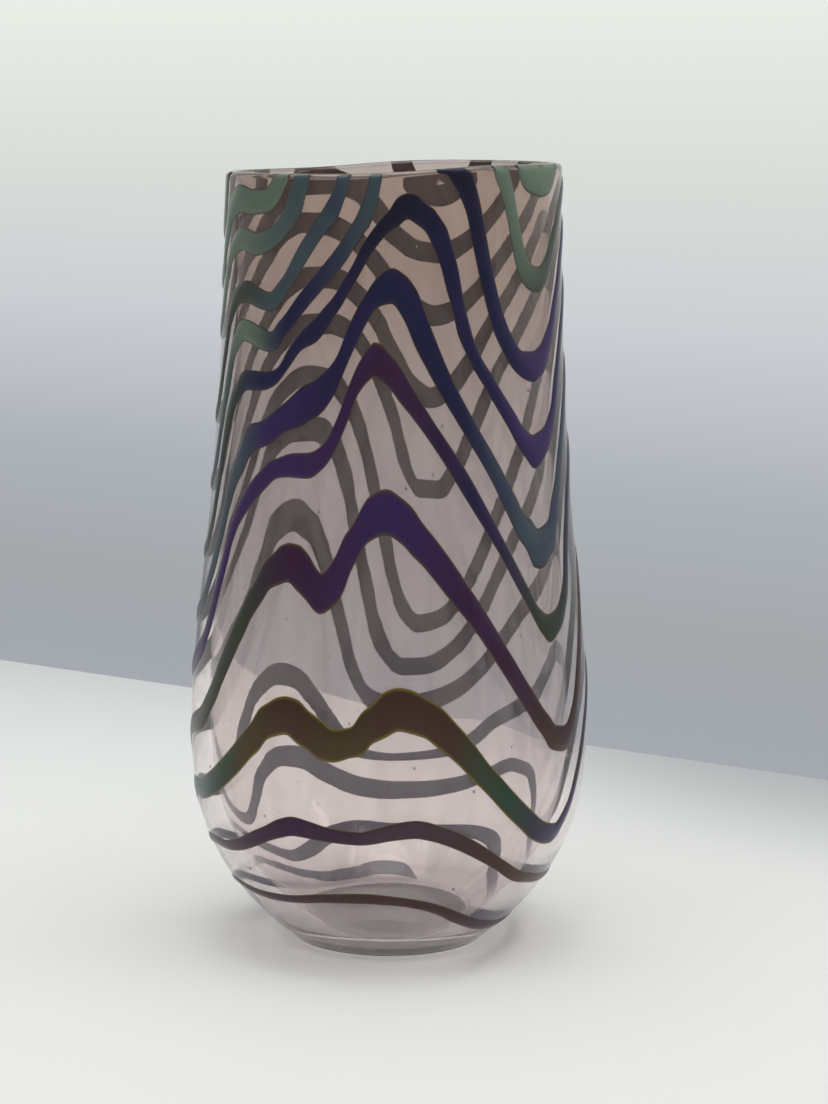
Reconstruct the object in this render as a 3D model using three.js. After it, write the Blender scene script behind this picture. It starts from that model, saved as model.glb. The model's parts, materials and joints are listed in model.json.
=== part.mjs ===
// Hand blown art glass vase with a combed trail of lustre glass.
//
// Millimetres, +Z up. The origin is the centre of the ground foot, on the surface the vase
// stands on. Angles run round the vase in degrees: 0 is the front (-Y), 90 is the right (+X).
//
// The body is one blown shell, thickest at the heel. A thread of darker glass is wound up the
// outside as a spiral and then combed up and down with a hook, so every turn is a wave. The
// first eight turns are one unbroken thread, kept here turn by turn. Above them the lip cuts
// the waves, which leaves three long arcs and three short ones.
import * as THREE from 'three';

// ---- driving dimensions: the blown shape ---------------------------------------------------
const RIM_HEIGHT = 250;
const RIM_WAVE = 1.8; // the lip stands this much higher on the right and lower on the left
const RIM_WAVE_TURN = 12; // angle at which the lip crosses its mean height
const RIM_WAVE_SHARPNESS = 2.5; // a higher number gives a quicker change from low to high
const WAVE_STARTS = 150; // height above which the wall follows the wavy lip
const FOOT_RADIUS = 31;
const FOOT_BEVEL = 0.8;
const BELLY_RADIUS = 64.5;
const BELLY_HEIGHT = 72;
const BOWL_ROUNDNESS = 2.75; // power of the curve from the belly down to the foot
const SHOULDER_RADIUS = 57.6;
const SHOULDER_HEIGHT = 150;
const NECK_RADIUS = 54.5;
const NECK_HEIGHT = 198;
const MOUTH_RADIUS = 53.3;
const MOUTH_SQUEEZE = 0.12; // the mouth is this share narrower from front to back
const SQUEEZE_STARTS = 90; // height above which the round body turns oval

// ---- driving dimensions: the wall ----------------------------------------------------------
const LIP_WALL = 3.6;
const SHOULDER_WALL = 4.4;
const BELLY_WALL = 6.1;
const HEEL_WALL = 7; // the wall beside the foot, square to its surface
const BASE_THICKNESS = 5;
const CAVITY_CORNER = 2.5; // how softly the inside wall turns into the cavity floor
const CAVITY_MIDDLE = 0.35; // share of the foot radius where the flat middle starts

// ---- driving dimensions: the trail ---------------------------------------------------------
const TRAIL_GAP = 0.35; // clearance between the trail and the wall it lies on
const TRAIL_THICKNESS = 0.9;
const TRAIL_SEAM = 0.3; // clearance between the ends of two turns
const TRAIL_END_WIDTH = 1.2; // the narrowest that a cut end gets
const LIP_REACH = 2.2; // how far a cut arc runs over the round of the lip
const PATTERN_HEIGHT = 250; // the heights in the wave tables are drawn for this rim height
const LAST_DIP = -43; // angle of the last low point of turn 8, from where it climbs to the lip

// ---- fineness ------------------------------------------------------------------------------
const BODY_SIDES = 64;
const BOWL_STEPS = 10;
const BOWL_STEP_POWER = 1.4; // the steps are shorter near the foot, where the bowl curves most
const WALL_STEPS = 18;
const LIP_STEPS = 6;
const CAVITY_STEPS = 10;
const STEP_ANGLE = 5.5; // most that one step along a trail turns
const STEP_RISE = 10; // most that one step along a trail rises
const BAND_WIDTH = 9; // widest strip across the width of a trail
const LIP_BANDS = 3; // strips across the width of a trail that runs over the lip
const LIP_SLIVER = 0.3; // a strip narrower than this gets no edge of its own at the lip
const SAMPLE = 0.5; // half the span over which a slope is measured
const HALVINGS = 30; // rounds of the search for an angle

const AMETHYST = { color: 0xb9a3a6, roughness: 0.06, metalness: 0 };
const LUSTRE_NAVY = { color: 0x1d1b3a, roughness: 0.2, metalness: 0.35 };
const LUSTRE_PURPLE = { color: 0x35204a, roughness: 0.2, metalness: 0.35 };
const LUSTRE_GOLD = { color: 0x4a3418, roughness: 0.22, metalness: 0.35 };
const LUSTRE_BROWN = { color: 0x4a3038, roughness: 0.24, metalness: 0.3 };
const LUSTRE_GREEN = { color: 0x4d6b5c, roughness: 0.22, metalness: 0.35 };

const radians = THREE.MathUtils.degToRad;
const smooth = THREE.MathUtils.smoothstep;

// ---- curve through points without overshoot (monotone cubic) -------------------------------
function monotoneCurve(points) {
  const last = points.length - 1;
  const rise = [];
  for (let i = 0; i < last; i += 1) {
    rise.push((points[i + 1][1] - points[i][1]) / (points[i + 1][0] - points[i][0]));
  }
  const slope = points.map((point, i) => {
    if (i === 0 || i === last || rise[i - 1] * rise[i] <= 0) {
      return 0;
    }
    const before = points[i][0] - points[i - 1][0];
    const after = points[i + 1][0] - points[i][0];
    const weightBefore = 2 * after + before;
    const weightAfter = after + 2 * before;
    return (weightBefore + weightAfter) / (weightBefore / rise[i - 1] + weightAfter / rise[i]);
  });
  return (x) => {
    let i = 0;
    while (i < last - 1 && x > points[i + 1][0]) {
      i += 1;
    }
    const span = points[i + 1][0] - points[i][0];
    const t = THREE.MathUtils.clamp((x - points[i][0]) / span, 0, 1);
    const near = (1 + 2 * t) * (1 - t) * (1 - t) * points[i][1] + t * (1 - t) * (1 - t) * span * slope[i];
    const far = t * t * (3 - 2 * t) * points[i + 1][1] - t * t * (1 - t) * span * slope[i + 1];
    return near + far;
  };
}

// ---- the blown shape: radius, wall, squeeze and wave by height -----------------------------
const LIP_ROUND = LIP_WALL / 2;
const WALL_TOP = RIM_HEIGHT - LIP_ROUND;

const upperRadius = monotoneCurve([
  [BELLY_HEIGHT, BELLY_RADIUS],
  [SHOULDER_HEIGHT, SHOULDER_RADIUS],
  [NECK_HEIGHT, NECK_RADIUS],
  [WALL_TOP, MOUTH_RADIUS],
]);

function outerRadius(height) {
  if (height >= BELLY_HEIGHT) {
    return upperRadius(height);
  }
  const below = 1 - Math.max(height, 0) / BELLY_HEIGHT;
  return BELLY_RADIUS - (BELLY_RADIUS - FOOT_RADIUS) * below ** BOWL_ROUNDNESS;
}

const wallThickness = monotoneCurve([
  [BELLY_HEIGHT, BELLY_WALL],
  [SHOULDER_HEIGHT, SHOULDER_WALL],
  [WALL_TOP, LIP_WALL],
]);

// Turns a point of the round, level shape into one of the real shape: oval and wavy on top.
function blown(angle, radius, height) {
  const turn = radians(angle);
  const squeeze = 1 - MOUTH_SQUEEZE * smooth(height, SQUEEZE_STARTS, RIM_HEIGHT);
  const tilt = Math.tanh(RIM_WAVE_SHARPNESS * Math.sin(radians(angle - RIM_WAVE_TURN)));
  const wave = RIM_WAVE * tilt * smooth(height, WAVE_STARTS, RIM_HEIGHT);
  return new THREE.Vector3(
    radius * Math.sin(turn),
    -radius * squeeze * Math.cos(turn),
    height + wave,
  );
}

// ---- the body ------------------------------------------------------------------------------
// The inside of the bowl runs side by side with the outside, down to a flat floor.
function cavityOutline() {
  const outline = [];
  const swell = BELLY_RADIUS - FOOT_RADIUS;
  const lowest = ((BELLY_RADIUS - CAVITY_MIDDLE * FOOT_RADIUS) / swell) ** (1 / BOWL_ROUNDNESS);
  for (let i = 0; i <= CAVITY_STEPS; i += 1) {
    const below = (lowest * i) / CAVITY_STEPS;
    const slope = (swell * BOWL_ROUNDNESS * below ** (BOWL_ROUNDNESS - 1)) / BELLY_HEIGHT;
    const share = THREE.MathUtils.lerp(BELLY_WALL, HEEL_WALL, below) / Math.hypot(1, slope);
    const radius = BELLY_RADIUS - swell * below ** BOWL_ROUNDNESS - share;
    const lift = BELLY_HEIGHT * (1 - below) + share * slope - BASE_THICKNESS;
    const height = BASE_THICKNESS + (lift + Math.hypot(lift, CAVITY_CORNER)) / 2;
    outline.push(new THREE.Vector2(radius, height));
  }
  outline.push(new THREE.Vector2(0, BASE_THICKNESS));
  return outline;
}

function bodyOutline() {
  const outline = [new THREE.Vector2(0, 0), new THREE.Vector2(FOOT_RADIUS - FOOT_BEVEL, 0)];
  for (let i = 0; i <= BOWL_STEPS; i += 1) {
    const height = FOOT_BEVEL + (BELLY_HEIGHT - FOOT_BEVEL) * (i / BOWL_STEPS) ** BOWL_STEP_POWER;
    outline.push(new THREE.Vector2(outerRadius(height), height));
  }
  for (let i = 1; i <= WALL_STEPS; i += 1) {
    const height = THREE.MathUtils.lerp(BELLY_HEIGHT, WALL_TOP, i / WALL_STEPS);
    outline.push(new THREE.Vector2(outerRadius(height), height));
  }
  for (let i = 1; i < LIP_STEPS; i += 1) {
    const turn = (Math.PI * i) / LIP_STEPS;
    const radius = MOUTH_RADIUS - LIP_ROUND * (1 - Math.cos(turn));
    outline.push(new THREE.Vector2(radius, WALL_TOP + LIP_ROUND * Math.sin(turn)));
  }
  for (let i = WALL_STEPS; i >= 1; i -= 1) {
    const height = THREE.MathUtils.lerp(BELLY_HEIGHT, WALL_TOP, i / WALL_STEPS);
    outline.push(new THREE.Vector2(outerRadius(height) - wallThickness(height), height));
  }
  outline.push(...cavityOutline());
  return outline;
}

function makeBody() {
  const geometry = new THREE.LatheGeometry(bodyOutline(), BODY_SIDES);
  const position = geometry.attributes.position;
  for (let i = 0; i < position.count; i += 1) {
    const across = position.getX(i);
    const ahead = position.getZ(i);
    const angle = THREE.MathUtils.radToDeg(Math.atan2(across, ahead));
    const place = blown(angle, Math.hypot(across, ahead), position.getY(i));
    position.setXYZ(i, place.x, place.y, place.z);
  }
  return geometry;
}

// ---- the trail -----------------------------------------------------------------------------
// A place on the outside, `reach` millimetres up the wall and then round the lip, lifted off
// the glass by `lift`.
function onWall(angle, reach, lift) {
  if (reach > WALL_TOP) {
    const turn = (reach - WALL_TOP) / LIP_ROUND;
    const swing = LIP_ROUND + lift;
    const radius = MOUTH_RADIUS - LIP_ROUND + swing * Math.cos(turn);
    return blown(angle, radius, WALL_TOP + swing * Math.sin(turn));
  }
  const slope = (outerRadius(reach + SAMPLE) - outerRadius(reach - SAMPLE)) / (2 * SAMPLE);
  const length = Math.hypot(1, slope);
  return blown(angle, outerRadius(reach) + lift / length, reach - (lift * slope) / length);
}

// A wave is a list of [angle, height of the middle, width across the thread]. The upper and
// lower edges are `width` apart square to the thread, so a steep leg is taller than it is wide.
function waveEdges(wave) {
  const stretch = RIM_HEIGHT / PATTERN_HEIGHT;
  const middle = monotoneCurve(wave.map(([angle, height]) => [angle, height * stretch]));
  const width = monotoneCurve(wave.map(([angle, , across]) => [angle, across]));
  return (angle) => {
    const rise = (middle(angle + SAMPLE) - middle(angle - SAMPLE)) / (2 * SAMPLE);
    const height = middle(angle);
    const perDegree = radians(1) * outerRadius(Math.min(height, WALL_TOP));
    const half = (width(angle) / 2) * Math.hypot(1, rise / perDegree);
    return [height - half, height + half];
  };
}

// Angles of the cross-sections: every given mark, with equal steps between them.
function stations(edges, marks) {
  const angles = [marks[0]];
  for (let i = 1; i < marks.length; i += 1) {
    const rise = Math.abs(edges(marks[i])[0] - edges(marks[i - 1])[0]);
    const steps = Math.ceil(Math.max((marks[i] - marks[i - 1]) / STEP_ANGLE, rise / STEP_RISE));
    for (let k = 1; k <= steps; k += 1) {
      angles.push(THREE.MathUtils.lerp(marks[i - 1], marks[i], k / steps));
    }
  }
  return angles;
}

// The angle between two angles, inside and outside, at which an edge rises past a reach.
function crossing(edges, side, inside, outside, reach) {
  let low = inside;
  let high = outside;
  for (let i = 0; i < HALVINGS; i += 1) {
    const middle = (low + high) / 2;
    if (edges(middle)[side] < reach) {
      low = middle;
    } else {
      high = middle;
    }
  }
  return low;
}

// Marks of an end that the lip cuts off, going outwards. The upper edge runs over the lip
// first. The lower edge follows it until only the end's width is left.
function cutEnd(edges, inside, outside) {
  const find = (side, past) => crossing(edges, side, inside, outside, WALL_TOP + past);
  const remains = LIP_REACH - TRAIL_END_WIDTH;
  const upper = [0, LIP_REACH / 2, LIP_REACH].map((past) => find(1, past));
  const lower = [0, remains / 2, remains].map((past) => find(0, past));
  const outwards = Math.sign(outside - inside);
  return [...upper, ...lower].sort((one, other) => (one - other) * outwards);
}

// Reaches of the lengthwise edges at one cross-section, from the lower edge to the upper one.
// Where the trail runs over the lip, one edge lies on the top of the wall and one on the round.
function crossSection(lower, upper, bands) {
  const top = Math.min(upper, WALL_TOP + LIP_REACH);
  const reaches = [];
  for (let i = 0; i <= bands; i += 1) {
    reaches.push(THREE.MathUtils.lerp(lower, top, i / bands));
  }
  const straddles = top > WALL_TOP + LIP_SLIVER && lower < WALL_TOP - LIP_SLIVER;
  if (bands === LIP_BANDS && straddles) {
    reaches[1] = WALL_TOP;
    reaches[2] = (WALL_TOP + top) / 2;
  }
  return reaches;
}

// One length of trail between the marks of its two ends, with a mark at each point between.
function makeTrail(wave, startMarks, endMarks) {
  const edges = waveEdges(wave);
  const from = startMarks[startMarks.length - 1];
  const to = endMarks[0];
  const between = wave.map(([angle]) => angle).filter((angle) => angle > from && angle < to);
  const angles = stations(edges, [...startMarks, ...between, ...endMarks]);
  const steps = angles.length - 1;
  const meetsLip = angles.some((angle) => edges(angle)[1] > WALL_TOP);
  const widest = Math.max(...wave.map(([, , across]) => across));
  const bands = meetsLip ? LIP_BANDS : Math.ceil(widest / BAND_WIDTH);
  const geometry = new THREE.BoxGeometry(1, 1, 1, steps, bands, 1);
  const position = geometry.attributes.position;
  for (let i = 0; i < position.count; i += 1) {
    const angle = angles[Math.round((position.getX(i) + 0.5) * steps)];
    const [lower, upper] = edges(angle);
    const reach = crossSection(lower, upper, bands)[Math.round((position.getY(i) + 0.5) * bands)];
    const lift = position.getZ(i) > 0 ? TRAIL_GAP + TRAIL_THICKNESS : TRAIL_GAP;
    const place = onWall(angle, reach, lift);
    position.setXYZ(i, place.x, place.y, place.z);
  }
  return geometry;
}

// The seams between turns are at the back. A turn that meets the next one there stops short
// of the seam by half the clearance.
function seamAngle(height) {
  return THREE.MathUtils.radToDeg(TRAIL_SEAM / 2 / outerRadius(height));
}

const TURN_WAVES = [
  [
    [-200, 2.4, 2], [-194, 4.2, 3.5], [-186, 5.6, 4.5], [-174, 5.8, 4.5], [-160, 4.6, 4],
    [-145, 4.6, 3.5], [-125, 7.5, 3], [-105, 12.5, 3], [-85, 18.5, 3], [-68, 21.5, 3],
    [-52, 21, 3], [-36, 22, 3], [-20, 24.5, 3.5], [-6, 25.5, 4], [5, 24.5, 3.5],
    [15, 22, 3.5], [31, 15, 4], [46, 10.5, 4], [62, 8.5, 3.5], [85, 8, 3.5],
    [108, 10, 4], [118, 14.5, 4.5], [128, 19, 5], [138, 20, 4.5], [152, 19, 4.5],
    [166, 18, 5], [180, 18, 5],
  ],
  [
    [-180, 18, 5], [-166, 19, 5.5], [-152, 17.5, 5.5], [-142, 14.5, 5], [-130, 13, 4],
    [-115, 16.5, 4], [-98, 24, 4], [-84, 32, 3.5], [-72, 35.5, 3.5], [-58, 36.5, 3.5],
    [-47, 40, 4.5], [-37, 45, 5], [-27, 49, 6.5], [-17, 47.5, 5], [-8, 46.8, 4.5],
    [1, 49, 5.5], [8, 50, 6], [15, 48, 5.5], [25, 42.8, 5], [36, 35.5, 4],
    [46, 29.5, 4], [56, 26.5, 3.5], [66, 24.5, 3.5], [82, 23, 3.5], [100, 25, 3.5],
    [110, 32, 4], [116, 39, 4.5], [123, 45, 5], [131, 45, 5], [142, 40, 5],
    [154, 35, 5.5], [168, 32.5, 6], [180, 32, 6.5],
  ],
  [
    [-180, 32, 6.5], [-168, 33.5, 7], [-157, 38.5, 7], [-148, 45, 8], [-139, 47, 7.5],
    [-130, 42.5, 6], [-121, 34, 5], [-110, 29, 4.5], [-100, 32, 5], [-90, 42, 6],
    [-80, 51, 7], [-70, 52.5, 7], [-60, 57, 7.5], [-50, 64.8, 8], [-41, 74.5, 8],
    [-35, 81.5, 10], [-29, 84, 12], [-22, 80, 11], [-15, 76, 10.5], [-10, 77.3, 9],
    [-4, 83.3, 10], [3, 87.8, 13.5], [10, 85.3, 11.5], [19, 77, 9], [29, 64.5, 7],
    [41, 51.5, 7], [52, 43.3, 7], [59, 41.5, 7], [65, 47, 5.5], [71, 60, 5],
    [80, 78, 5.5], [92, 91, 7], [102, 91, 7], [112, 82, 6.5], [122, 71.5, 6],
    [132, 65, 5.5], [143, 58.5, 5], [153, 50, 5], [165, 45.5, 3.5], [180, 44, 3],
  ],
  [
    [-180, 44, 3], [-170, 45.5, 4], [-161, 54, 5.5], [-153, 65, 6], [-146, 72.5, 7],
    [-138, 75, 7.5], [-130, 71, 7], [-123, 61, 6], [-114, 50, 5.5], [-104, 48, 5.5],
    [-94, 58, 6], [-84, 69, 6], [-74, 73.5, 6.5], [-68, 76, 7], [-61, 84, 6],
    [-55, 95, 6], [-49, 107, 6], [-43, 118.5, 6], [-37, 127.3, 8.5], [-31, 130.5, 12],
    [-25, 127, 11], [-20, 122, 12.5], [-16, 126, 9], [-11, 136.3, 6.5], [-6, 145, 11],
    [-1, 147.2, 14], [4, 144.3, 11], [10, 137.5, 8.5], [18, 127, 8], [27, 114, 6.5],
    [35, 100.8, 6], [42, 89.5, 6], [49, 79.5, 6.5], [55, 73.5, 8], [60, 72.5, 8.5],
    [65, 77, 7], [70, 88, 6], [78, 106, 6], [88, 123, 7], [98, 128, 8],
    [107, 123, 7.5], [117, 112, 7], [128, 101, 6], [140, 87, 5.5], [150, 75, 5.5],
    [160, 66.5, 6], [170, 62.5, 6.5], [180, 61.5, 6.5],
  ],
  [
    [-180, 61.5, 6.5], [-172, 65, 6], [-167, 76, 5], [-162, 95, 5], [-157, 114, 6],
    [-151, 126, 9], [-144, 130.5, 12], [-136, 127, 11], [-129, 115, 7], [-121, 100, 6],
    [-110, 90, 6.5], [-98, 86, 7], [-86, 89, 7.5], [-77, 94, 7], [-70, 100, 6],
    [-65, 111, 5], [-60, 127, 4.5], [-56, 139, 4.5], [-50, 148, 5.5], [-44, 154, 6],
    [-38, 158.5, 6], [-32, 160, 7.5], [-26, 160.3, 8], [-21, 163.5, 5.5], [-17, 170.3, 4],
    [-13.5, 179.5, 3.8], [-10, 188, 5], [-5, 193.3, 11], [0, 189.5, 7.5], [6, 181.5, 5.5],
    [14, 170, 4.5], [24, 155, 5], [35, 137, 4], [45, 119.5, 4], [50, 111.3, 5.5],
    [54, 108.3, 9], [59, 110.3, 7], [65, 118, 5], [71, 135, 5], [80, 153, 6],
    [91, 163, 8], [101, 162, 8], [111, 152, 6.5], [121, 140, 6], [131, 127, 5.5],
    [141, 110, 5], [151, 92.5, 5], [160, 81, 5.5], [169, 75, 6], [176, 74.5, 6],
    [180, 77, 5.5],
  ],
  [
    [-180, 77, 5.5], [-175, 88, 5], [-171, 105, 4.5], [-167, 124, 4.5], [-163, 142, 5],
    [-158, 154, 6.5], [-151, 160, 8.5], [-142, 160.5, 8.5], [-133, 156, 7.5], [-124, 143, 6],
    [-114, 124, 5.5], [-103, 111, 6.5], [-92, 106, 7], [-80, 109, 6.5], [-73, 116, 5.5],
    [-68, 126, 5], [-64, 138, 5], [-60, 150, 5.5], [-56, 158, 6], [-50, 166.5, 8.5],
    [-43, 169.5, 8], [-36, 174.3, 8], [-29, 178.5, 11], [-23, 182, 9.5], [-18, 188, 5.5],
    [-14, 197.5, 4.5], [-9, 207.5, 5], [-4, 214.3, 8], [0, 215.8, 11], [4, 212.3, 8.5],
    [8, 205.5, 8], [12, 197, 6.5], [18, 185, 5.5], [26, 171.5, 5], [33, 160.5, 5],
    [40, 148.5, 6], [46, 139, 7], [52, 133.3, 12.5], [58, 136, 9], [64, 146, 6.5],
    [71, 162, 5.5], [80, 178, 6], [90, 188, 8], [100, 189, 8], [110, 181, 6.5],
    [120, 168, 6], [130, 152, 5.5], [140, 133, 5], [149, 114, 5], [157, 100, 5],
    [165, 91.5, 6], [172, 89.5, 6.5], [177, 96, 5], [180, 106, 4.5],
  ],
  [
    [-180, 106, 4.5], [-176, 124, 4.5], [-172, 143, 4.5], [-168, 158, 5], [-163, 169, 6],
    [-155, 177, 7], [-145, 179, 7], [-135, 174, 6.5], [-125, 162, 6], [-114, 146, 5.5],
    [-102, 133, 6], [-90, 127, 6.5], [-81, 129, 6], [-75, 137, 5], [-70, 154, 4.5],
    [-66, 169, 5], [-61, 179.5, 5.5], [-54, 185, 6.5], [-46, 185.2, 6], [-40, 187, 4.5],
    [-35, 193, 4], [-30, 198.8, 4.5], [-25, 202.3, 6], [-19, 209.3, 4], [-13, 218.7, 3.5],
    [-7, 228.7, 4], [-1, 235.3, 5], [5, 239.6, 8], [11, 235.7, 6], [16, 228, 6],
    [20, 217, 5.5], [24, 203, 4.5], [28, 193, 4], [34, 184, 4.5], [41, 174.5, 5],
    [47, 166.8, 6.5], [52, 163.3, 10.5], [58, 165.7, 8], [64, 172, 5.5], [71, 187, 5],
    [80, 203, 5.5], [91, 213, 7], [102, 214, 7], [112, 207, 6], [122, 198, 5.5],
    [132, 188, 5], [141, 177, 5], [150, 161, 5], [157, 147, 5], [164, 139, 6.5],
    [171, 139, 6.5], [176, 150, 5], [180, 164, 4.5],
  ],
  [
    [-180, 164, 4.5], [-176, 174.5, 4.5], [-171, 185, 5], [-164, 193, 6.5], [-155, 196.5, 7.5],
    [-145, 196.5, 7.5], [-135, 192, 6.5], [-125, 182, 6], [-113, 167, 6], [-101, 155, 6],
    [-90, 149, 6.5], [-81, 151, 6], [-76, 158, 5], [-71.5, 172, 4.5], [-68, 184, 4.5],
    [-64, 194.5, 5], [-57, 200.7, 7], [-50, 199.3, 7], [-43, 197.7, 6.5], [-37, 203, 5],
    [-30, 211, 5], [-23, 218.5, 5], [-16, 226.5, 5], [-11, 234, 4.5], [-8, 240, 4.5],
    [-6, 247, 4], [-4.5, 255, 4], [-3, 266, 4],
  ],
];

const ARC_WAVES = {
  trail_arc_lower: [
    [13, 264, 5], [16, 256, 5.5], [19, 251.5, 6], [22, 247.5, 6], [26, 240.5, 6],
    [29, 231, 6], [32, 220, 5.5], [35, 209.5, 5.5], [39, 200, 5.5], [43, 193.8, 6.5],
    [48, 189.8, 8], [53, 189, 9.5], [58, 190.8, 8.5], [64, 197, 6], [71, 209, 5],
    [80, 223, 5.5], [91, 231, 7], [102, 231, 7], [112, 225, 6], [122, 215, 5.5],
    [132, 205, 5], [142, 195, 5], [151, 183, 5.5], [159, 174, 6.5], [166, 170.5, 7],
    [172, 174, 6.5], [180, 186, 5.5], [186, 197, 5.5], [193, 205.5, 6.5], [203, 212, 7.5],
    [215, 213, 7], [225, 209, 6.5], [235, 200, 6], [247, 187, 6], [259, 176.5, 6],
    [270, 171, 6.5], [278, 173, 6], [283, 180, 5], [287.5, 193, 4.5], [292, 205, 5],
    [298, 211.5, 6.5], [304, 213, 7], [310, 211.5, 6.5], [316, 210.3, 6], [322, 215, 5],
    [327, 222, 5], [332, 229, 5], [337, 235.5, 5], [340.5, 240.2, 5], [342.8, 245.8, 4.5],
    [344.8, 252.4, 4.2], [347.2, 260.5, 4],
  ],
  trail_arc_middle: [
    [34, 266, 5], [36.5, 256, 5], [39, 248, 5], [42, 239, 5], [45, 229, 5.5],
    [48, 221, 6], [52, 216, 7.5], [57, 215, 8], [62, 218, 6.5], [69, 227, 5.5],
    [78, 237, 6], [88, 243, 6.5], [98, 244, 6.5], [108, 241, 6.5], [118, 233, 6],
    [128, 224, 5.5], [138, 215, 5.5], [148, 206, 5.5], [157, 200, 6.5], [165, 198, 7],
    [172, 201, 6.5], [180, 208, 6], [188, 218, 6], [197, 227, 7], [206, 231, 7.5],
    [217, 232, 7], [228, 228, 6.5], [239, 219, 6.5], [250, 209, 6.5], [261, 202, 7],
    [271, 199, 7], [278, 202, 6.5], [283, 210, 5.5], [287, 219, 5.5], [292, 226, 6.5],
    [300, 229.5, 7.5], [308, 228, 7.5], [316, 230, 6.5], [321, 234, 6], [324.5, 239, 6],
    [327.5, 246, 6], [330, 255, 6], [332, 266, 6],
  ],
  trail_arc_upper: [
    [118, 264, 6], [122, 254, 6], [127, 246, 6], [133, 238.5, 6], [142, 230, 6],
    [152, 223, 6.5], [162, 219, 7], [171, 220, 7], [180, 226, 6.5], [187, 235, 6.5],
    [195, 242, 7], [205, 245, 8], [216, 245, 8], [227, 240, 7], [238, 232, 6.5],
    [250, 223, 6.5], [261, 217, 7], [271, 215, 7], [278, 219, 6.5], [284, 230, 6.5],
    [290, 238.5, 8], [298, 241.8, 9], [306, 241, 8], [313, 241.5, 7.5], [318, 245, 7],
    [321, 250, 7], [324, 264, 7],
  ],
  trail_patch_front: [
    [44, 266, 7], [49, 252, 8], [54, 246, 9], [59, 244.5, 9.5], [64, 246.5, 9],
    [69, 253, 8], [74, 266, 7],
  ],
  trail_patch_back: [
    [139, 266, 6], [145, 252, 6.5], [154, 242, 7], [163, 238.5, 7], [171, 241, 7],
    [178, 250, 6.5], [184, 266, 6],
  ],
  trail_patch_left: [
    [-132, 264, 6], [-125, 251, 6.5], [-115, 240.5, 7], [-103, 233.5, 7], [-90, 231.5, 7],
    [-83, 236, 6.5], [-79, 245, 6], [-76, 256, 6], [-74, 266, 6],
  ],
};

const TURN_GLASSES = [
  LUSTRE_BROWN, LUSTRE_BROWN, LUSTRE_GOLD, LUSTRE_PURPLE,
  LUSTRE_PURPLE, LUSTRE_NAVY, LUSTRE_NAVY, LUSTRE_NAVY,
];

const ARC_GLASSES = {
  trail_arc_lower: LUSTRE_NAVY,
  trail_arc_middle: LUSTRE_GREEN,
  trail_arc_upper: LUSTRE_GREEN,
  trail_patch_front: LUSTRE_GREEN,
  trail_patch_back: LUSTRE_GREEN,
  trail_patch_left: LUSTRE_GREEN,
};

// ---- assembly ------------------------------------------------------------------------------
const group = new THREE.Group();

function addPiece(name, geometry, glass) {
  const mesh = new THREE.Mesh(geometry, new THREE.MeshStandardMaterial(glass));
  mesh.name = name;
  group.add(mesh);
}

addPiece('vase_body', makeBody(), AMETHYST);

// A turn's wave with one more mark at each end, borrowed from the turns that it meets, so that
// the thread keeps its direction over the seam.
function joinedWave(i) {
  const borrowed = [...TURN_WAVES[i]];
  if (i > 0) {
    const [angle, height, width] = TURN_WAVES[i - 1].at(-2);
    borrowed.unshift([angle - 360, height, width]);
  }
  if (i < TURN_WAVES.length - 1) {
    const [angle, height, width] = TURN_WAVES[i + 1][1];
    borrowed.push([angle + 360, height, width]);
  }
  return borrowed;
}

TURN_WAVES.forEach((turnWave, i) => {
  const wave = joinedWave(i);
  const start = turnWave[0];
  const end = turnWave[turnWave.length - 1];
  const isFirst = i === 0;
  const isLast = i === TURN_WAVES.length - 1;
  const startMarks = [isFirst ? start[0] : start[0] + seamAngle(start[1])];
  const endMarks = isLast ? cutEnd(waveEdges(wave), LAST_DIP, end[0]) : [end[0] - seamAngle(end[1])];
  addPiece(`trail_turn_${i + 1}`, makeTrail(wave, startMarks, endMarks), TURN_GLASSES[i]);
});

Object.entries(ARC_WAVES).forEach(([name, wave]) => {
  const edges = waveEdges(wave);
  const start = wave[0][0];
  const end = wave[wave.length - 1][0];
  const middle = (start + end) / 2;
  const startMarks = cutEnd(edges, middle, start).reverse();
  const endMarks = cutEnd(edges, middle, end);
  addPiece(name, makeTrail(wave, startMarks, endMarks), ARC_GLASSES[name]);
});

export default group;
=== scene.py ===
"""A hand blown art glass vase with a combed thread of lustre glass, on a pale table.

Metres, +Z up, -Y to the front. The blown shape is worked in millimetres and angles in degrees,
0 at the front and 90 on the right, and goes to metres where a mesh is made. The threads are
read off their CAD solids, and melted on to the wall here.
"""
import json
import math
import random

import bmesh
import bpy
from mathutils import Euler, Matrix, Vector


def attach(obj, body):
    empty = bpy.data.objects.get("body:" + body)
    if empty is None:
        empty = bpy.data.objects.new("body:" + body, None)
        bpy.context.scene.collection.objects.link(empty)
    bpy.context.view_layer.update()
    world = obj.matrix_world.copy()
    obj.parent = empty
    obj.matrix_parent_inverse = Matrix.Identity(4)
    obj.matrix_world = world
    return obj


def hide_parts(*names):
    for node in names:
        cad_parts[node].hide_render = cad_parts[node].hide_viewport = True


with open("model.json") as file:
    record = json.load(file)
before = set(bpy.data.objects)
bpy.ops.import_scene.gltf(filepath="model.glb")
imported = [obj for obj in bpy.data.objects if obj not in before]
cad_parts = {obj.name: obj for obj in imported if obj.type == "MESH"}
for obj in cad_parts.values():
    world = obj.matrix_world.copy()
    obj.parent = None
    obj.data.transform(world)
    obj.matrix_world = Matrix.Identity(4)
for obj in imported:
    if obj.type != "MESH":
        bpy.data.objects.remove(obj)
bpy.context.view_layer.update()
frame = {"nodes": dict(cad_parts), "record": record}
scene = bpy.context.scene

MM = 0.001

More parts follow.
